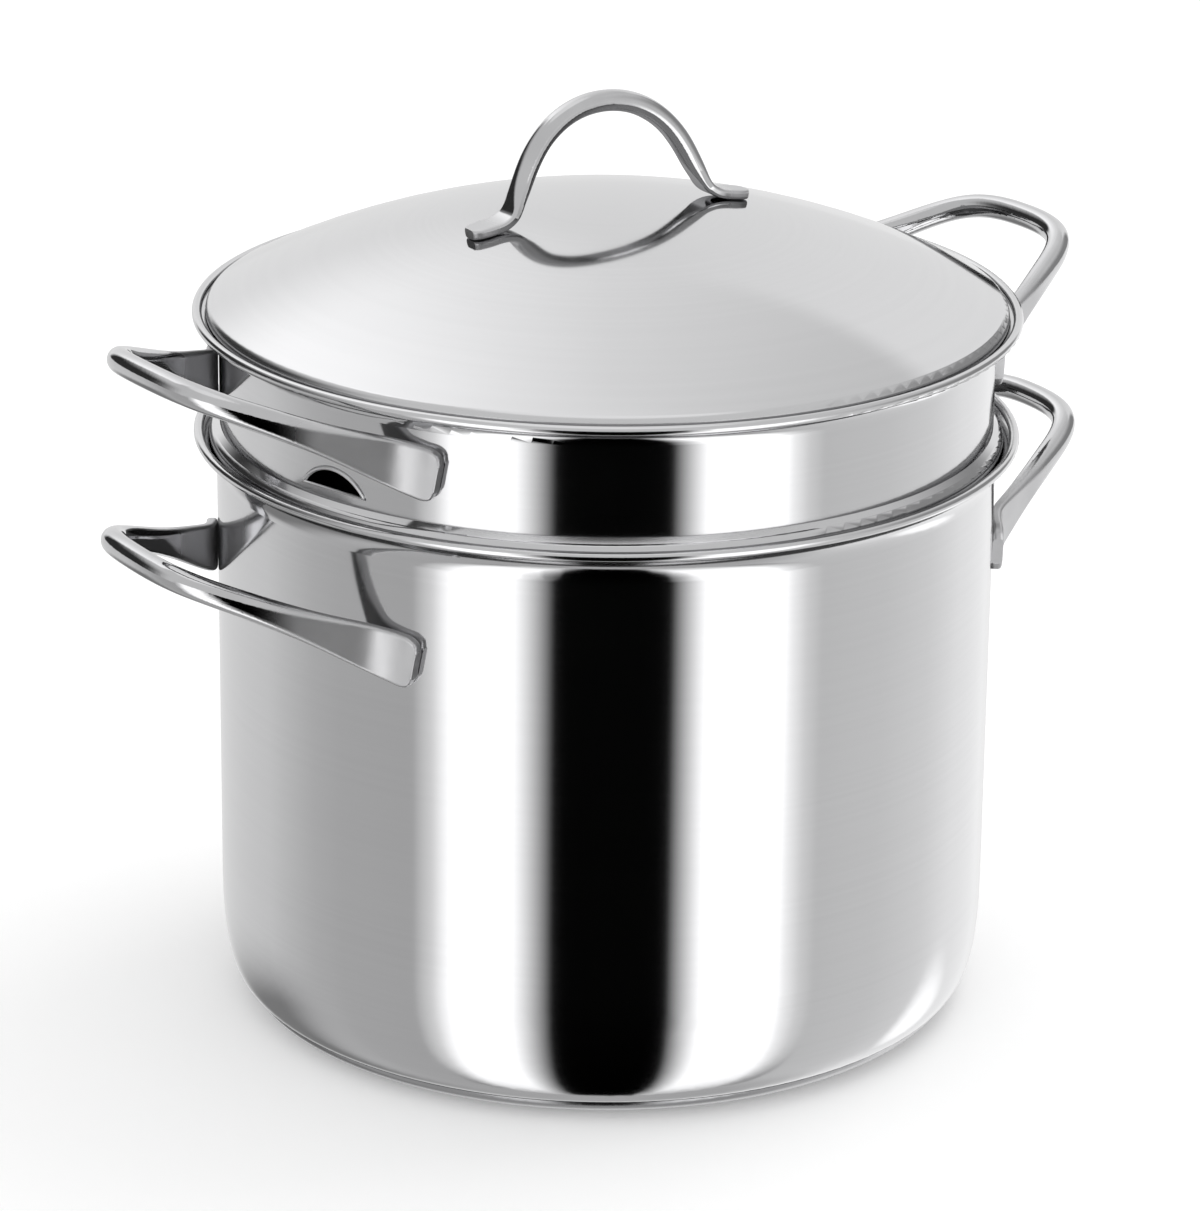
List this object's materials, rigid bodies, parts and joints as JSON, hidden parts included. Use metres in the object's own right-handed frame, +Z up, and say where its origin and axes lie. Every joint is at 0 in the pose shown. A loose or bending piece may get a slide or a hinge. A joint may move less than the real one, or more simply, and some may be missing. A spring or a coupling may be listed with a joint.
{
  "type": "pasta pot with strainer insert",
  "caption": "Tall stainless steel pasta pot with a lift-out perforated strainer, domed lid and bent rod handles with flattened welded ends",
  "frame": {"origin": "centre of the base, on the surface that the pot stands on", "axes": "+Z up along the pot's axis, +X through the pot's two side handles, +Y sideways"},
  "size_m": [0.3326, 0.254, 0.2874],
  "materials": {
    "brushed_steel": "fine circular brushing",
    "satin_steel": "satin",
    "polished_steel": "mirror polished stainless steel",
    "aluminium_core": "plain"
  },
  "bodies": {
    "pot": {"pot_body": "brushed_steel", "base_core": "aluminium_core", "base_cap": "brushed_steel", "pot_handle_left": "polished_steel", "pot_handle_right": "polished_steel"},
    "strainer": {"strainer_body": "brushed_steel", "strainer_handle_left": "polished_steel", "strainer_handle_right": "polished_steel"},
    "lid": {"lid_dome": "satin_steel", "lid_handle": "polished_steel"}
  },
  "joints": [
    {"name": "strainer_lift", "type": "slide", "parent": "pot", "child": "strainer", "axis": [0, 0, 1], "range_m": [0, 0.2]},
    {"name": "lid_lift", "type": "slide", "parent": "strainer", "child": "lid", "axis": [0, 0, 1], "range_m": [0, 0.1]}
  ]
}
